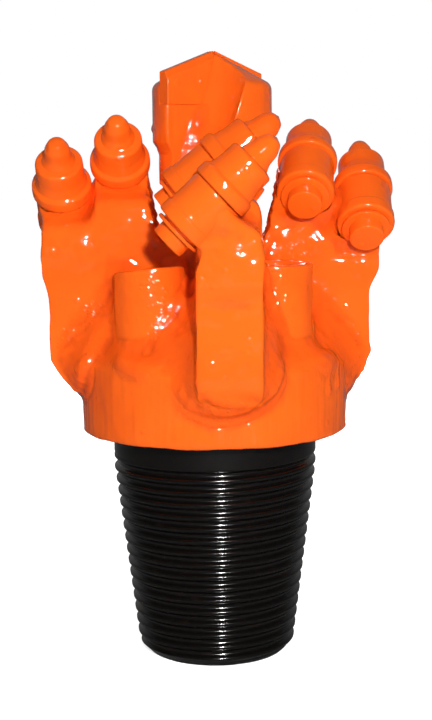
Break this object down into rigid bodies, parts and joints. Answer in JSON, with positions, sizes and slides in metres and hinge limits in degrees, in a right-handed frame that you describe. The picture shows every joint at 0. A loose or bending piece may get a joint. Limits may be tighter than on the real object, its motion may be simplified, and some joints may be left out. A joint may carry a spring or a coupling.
{
  "type": "claw bit",
  "caption": "Claw drill bit with a tapered threaded pin, a round collar, welded arms that carry round-shank teeth, jet tubes between the arms and a fluted pilot in the middle.",
  "frame": {"origin": "centre of the pin's small end face", "axes": "+Z along the drilling axis from the pin to the pilot; the front arm points to -Y and the right arm to +X; seen from +Z the teeth point anticlockwise"},
  "size_m": [0.1487, 0.148, 0.25],
  "materials": {
    "pin_black": "gloss black coating",
    "enamel": "thick gloss orange enamel",
    "enamel_on_welds": "gloss orange enamel over rough weld",
    "enamel_on_teeth": "gloss orange enamel over turned steel and hard metal",
    "enamel_on_plates": "gloss orange enamel over hard metal"
  },
  "bodies": {
    "bit": {"pin_and_collar": "pin_black", "pilot_socket": "enamel", "pilot_body": "enamel", "pilot_plate_front": "enamel_on_plates", "pilot_plate_back": "enamel_on_plates", "arm_front": "enamel", "arm_weld_front": "enamel_on_welds", "holder_front_outer": "enamel", "holder_front_inner": "enamel", "arm_right": "enamel", "arm_weld_right": "enamel_on_welds", "holder_right_outer": "enamel", "holder_right_inner": "enamel", "arm_back": "enamel", "arm_weld_back": "enamel_on_welds", "holder_back_outer": "enamel", "holder_back_inner": "enamel", "arm_left": "enamel", "arm_weld_left": "enamel_on_welds", "holder_left_outer": "enamel", "holder_left_inner": "enamel", "jet_tube_front_left": "enamel", "tube_weld_front_left": "enamel_on_welds", "jet_tube_front_right": "enamel", "tube_weld_front_right": "enamel_on_welds", "jet_tube_back_right": "enamel", "tube_weld_back_right": "enamel_on_welds", "jet_tube_back_left": "enamel", "tube_weld_back_left": "enamel_on_welds"},
    "tooth_body_front_outer": {"tooth_front_outer": "enamel_on_teeth", "tip_front_outer": "enamel_on_teeth", "ring_front_outer": "enamel_on_teeth"},
    "tooth_body_front_inner": {"tooth_front_inner": "enamel_on_teeth", "tip_front_inner": "enamel_on_teeth", "ring_front_inner": "enamel_on_teeth"},
    "tooth_body_right_outer": {"tooth_right_outer": "enamel_on_teeth", "tip_right_outer": "enamel_on_teeth", "ring_right_outer": "enamel_on_teeth"},
    "tooth_body_right_inner": {"tooth_right_inner": "enamel_on_teeth", "tip_right_inner": "enamel_on_teeth", "ring_right_inner": "enamel_on_teeth"},
    "tooth_body_back_outer": {"tooth_back_outer": "enamel_on_teeth", "tip_back_outer": "enamel_on_teeth", "ring_back_outer": "enamel_on_teeth"},
    "tooth_body_back_inner": {"tooth_back_inner": "enamel_on_teeth", "tip_back_inner": "enamel_on_teeth", "ring_back_inner": "enamel_on_teeth"},
    "tooth_body_left_outer": {"tooth_left_outer": "enamel_on_teeth", "tip_left_outer": "enamel_on_teeth", "ring_left_outer": "enamel_on_teeth"},
    "tooth_body_left_inner": {"tooth_left_inner": "enamel_on_teeth", "tip_left_inner": "enamel_on_teeth", "ring_left_inner": "enamel_on_teeth"}
  },
  "joints": [
    {"name": "front_outer_spin", "type": "hinge", "parent": "bit", "child": "tooth_body_front_outer", "pos_m": [0.0023, -0.0617, 0.1941], "axis": [0.729, 0, 0.6845], "continuous": true},
    {"name": "front_inner_spin", "type": "hinge", "parent": "bit", "child": "tooth_body_front_inner", "pos_m": [0.00245, -0.0377, 0.2041], "axis": [0.7826, 0, 0.6225], "continuous": true},
    {"name": "right_outer_spin", "type": "hinge", "parent": "bit", "child": "tooth_body_right_outer", "pos_m": [0.0623, 0.0023, 0.1922], "axis": [0.0129, 0.7407, 0.6717], "continuous": true},
    {"name": "right_inner_spin", "type": "hinge", "parent": "bit", "child": "tooth_body_right_inner", "pos_m": [0.0392, 0.00245, 0.2035], "axis": [0.091, 0.7987, 0.5948], "continuous": true},
    {"name": "back_outer_spin", "type": "hinge", "parent": "bit", "child": "tooth_body_back_outer", "pos_m": [-0.0023, 0.0617, 0.1941], "axis": [-0.729, 0, 0.6845], "continuous": true},
    {"name": "back_inner_spin", "type": "hinge", "parent": "bit", "child": "tooth_body_back_inner", "pos_m": [-0.00245, 0.0377, 0.2041], "axis": [-0.7826, 0, 0.6225], "continuous": true},
    {"name": "left_outer_spin", "type": "hinge", "parent": "bit", "child": "tooth_body_left_outer", "pos_m": [-0.0617, -0.0023, 0.1941], "axis": [0, -0.729, 0.6845], "continuous": true},
    {"name": "left_inner_spin", "type": "hinge", "parent": "bit", "child": "tooth_body_left_inner", "pos_m": [-0.0377, -0.00245, 0.2041], "axis": [0, -0.7826, 0.6225], "continuous": true}
  ]
}
